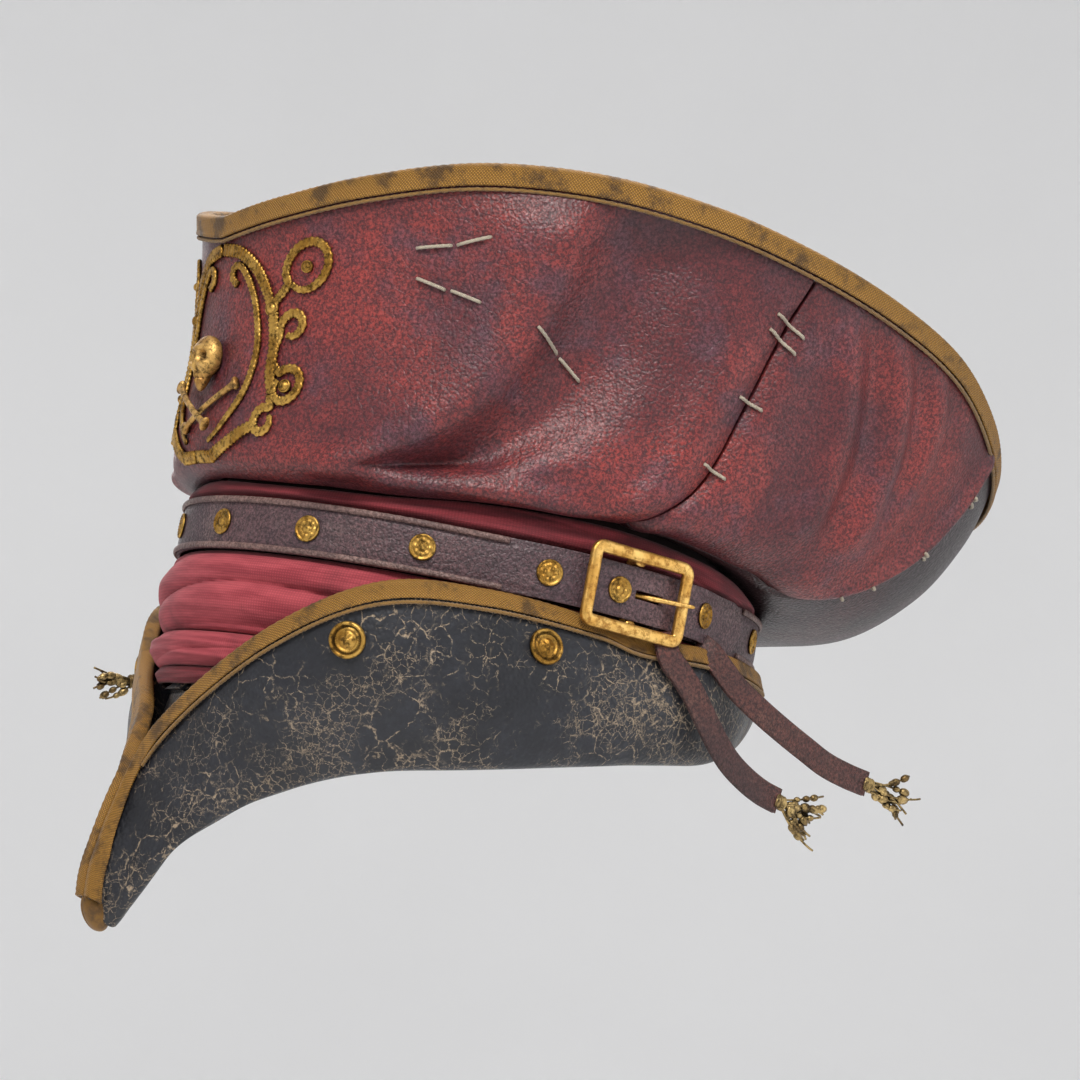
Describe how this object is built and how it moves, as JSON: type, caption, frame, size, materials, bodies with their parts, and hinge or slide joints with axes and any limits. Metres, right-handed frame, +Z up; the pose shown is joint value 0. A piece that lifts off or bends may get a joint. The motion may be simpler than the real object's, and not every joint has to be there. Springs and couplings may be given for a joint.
{
  "type": "pirate hat",
  "caption": "Pirate hat with a tall flared leather crown, cloth band, buckled belt and cuffed brim, worn on a head.",
  "frame": {"origin": "centre of the head opening, level with the sweatband's lower edge at the front and back of the temples", "axes": "-X towards the hat's front, +Y to the wearer's right, +Z up out of the head opening"},
  "size_m": [0.3459, 0.2606, 0.2865],
  "materials": {
    "crown_leather": "worn, satin",
    "gusset_leather": "worn, satin",
    "foundation_felt": "matte",
    "sweatband_leather": "satin",
    "old_gold_braid": "woven",
    "gold_cord": "twisted",
    "linen_thread": "matte",
    "bandana_cloth": "matte",
    "bandana_shadow_cloth": "matte",
    "belt_leather": "worn, satin",
    "welt_leather": "satin",
    "antique_brass": "antique",
    "buckle_brass": "worn",
    "bone_gilt": "antique",
    "brim_leather": "cracked, satin",
    "tie_leather": "satin",
    "fringe_beads": "antique"
  },
  "bodies": {
    "hat": {"foundation_cap": "foundation_felt", "sweatband": "sweatband_leather", "crown_front_panel": "crown_leather", "crown_back_left": "crown_leather", "crown_back_right": "crown_leather", "crown_rear_gusset": "gusset_leather", "crown_top_panel": "crown_leather", "crown_rim_braid": "old_gold_braid", "crown_rim_piping": "gold_cord", "side_seam_stitches_left": "linen_thread", "side_seam_stitches_right": "linen_thread", "gusset_stitches_left": "linen_thread", "gusset_stitches_right": "linen_thread", "crown_darning_stitches": "linen_thread", "bandana_upper_wrap": "bandana_cloth", "bandana_main_wrap": "bandana_cloth", "bandana_lower_fold": "bandana_cloth", "bandana_under_fold": "bandana_shadow_cloth", "belt_strap": "belt_leather", "belt_chape": "belt_leather", "belt_edge_welts": "welt_leather", "belt_studs": "antique_brass", "buckle_frame": "buckle_brass", "brim_left": "brim_leather", "brim_right": "brim_leather", "brim_braid_left": "old_gold_braid", "brim_braid_right": "old_gold_braid", "brim_piping_left": "gold_cord", "brim_piping_right": "gold_cord", "brim_buttons_left": "antique_brass", "brim_buttons_right": "antique_brass", "emblem_frame": "antique_brass", "emblem_scrolls": "antique_brass", "emblem_bosses": "antique_brass", "emblem_skull": "bone_gilt", "emblem_crossbones": "bone_gilt", "tie_left_front": "tie_leather", "tie_left_rear": "tie_leather", "tie_right": "tie_leather", "fringe_left_front": "fringe_beads", "fringe_left_rear": "fringe_beads", "fringe_right": "fringe_beads"},
    "prong": {"buckle_prong": "buckle_brass"}
  },
  "joints": [
    {"name": "prong_lift", "type": "hinge", "parent": "hat", "child": "prong", "pos_m": [0.00605, -0.09757, 0.063], "axis": [0, 0, -1], "range_deg": [0, 25]}
  ]
}
